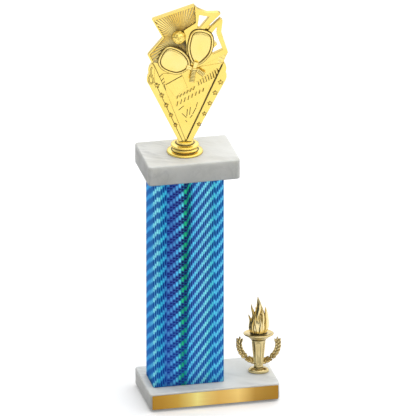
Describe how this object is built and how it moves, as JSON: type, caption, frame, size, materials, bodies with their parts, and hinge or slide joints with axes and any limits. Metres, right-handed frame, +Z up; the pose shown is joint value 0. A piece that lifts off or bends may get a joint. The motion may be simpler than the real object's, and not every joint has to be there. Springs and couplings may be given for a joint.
{
  "type": "column trophy",
  "caption": "Column trophy: marble base and cap clamped round a foil-wrapped rectangular column, with a gold sports topper and a torch-and-wreath ornament.",
  "frame": {"origin": "middle of the footprint, on the surface that the felt pads stand on", "axes": "+Z up along the column; the nameplate faces -Y; the torch ornament is towards +X"},
  "size_m": [0.1437, 0.0746, 0.4312],
  "materials": {
    "marble": "polished white marble with soft grey veins",
    "felt": "pressed felt",
    "nameplate_metal": "brushed gold anodised sheet",
    "adhesive": "clear double-sided tape",
    "column_plastic": "plain extruded tube",
    "foil": "laminated blue metallic film with a woven pattern",
    "steel": "bright zinc plated",
    "topper_gold": "vacuum-metallised bright yellow gold",
    "torch_gold": "vacuum-metallised pale gold"
  },
  "bodies": {
    "root": {"foot_pad_front_left": "felt", "foot_pad_front_right": "felt", "foot_pad_rear_left": "felt", "foot_pad_rear_right": "felt", "marble_base": "marble", "marble_cap": "marble", "nameplate": "nameplate_metal", "nameplate_adhesive": "adhesive", "column_tube": "column_plastic", "column_wrap": "foil", "tie_rod": "steel", "rod_washer": "steel", "rod_lock_washer": "steel", "rod_nut": "steel", "topper_foot": "topper_gold", "topper_foot_nut": "steel", "topper_plaque": "topper_gold", "topper_back_cover": "topper_gold", "topper_paddle_left": "topper_gold", "topper_paddle_right": "topper_gold", "topper_ball": "topper_gold", "torch_stand": "torch_gold", "torch_cup": "torch_gold", "torch_flame": "torch_gold", "torch_wreath": "torch_gold", "torch_screw": "steel", "torch_washer": "steel"}
  },
  "joints": []
}
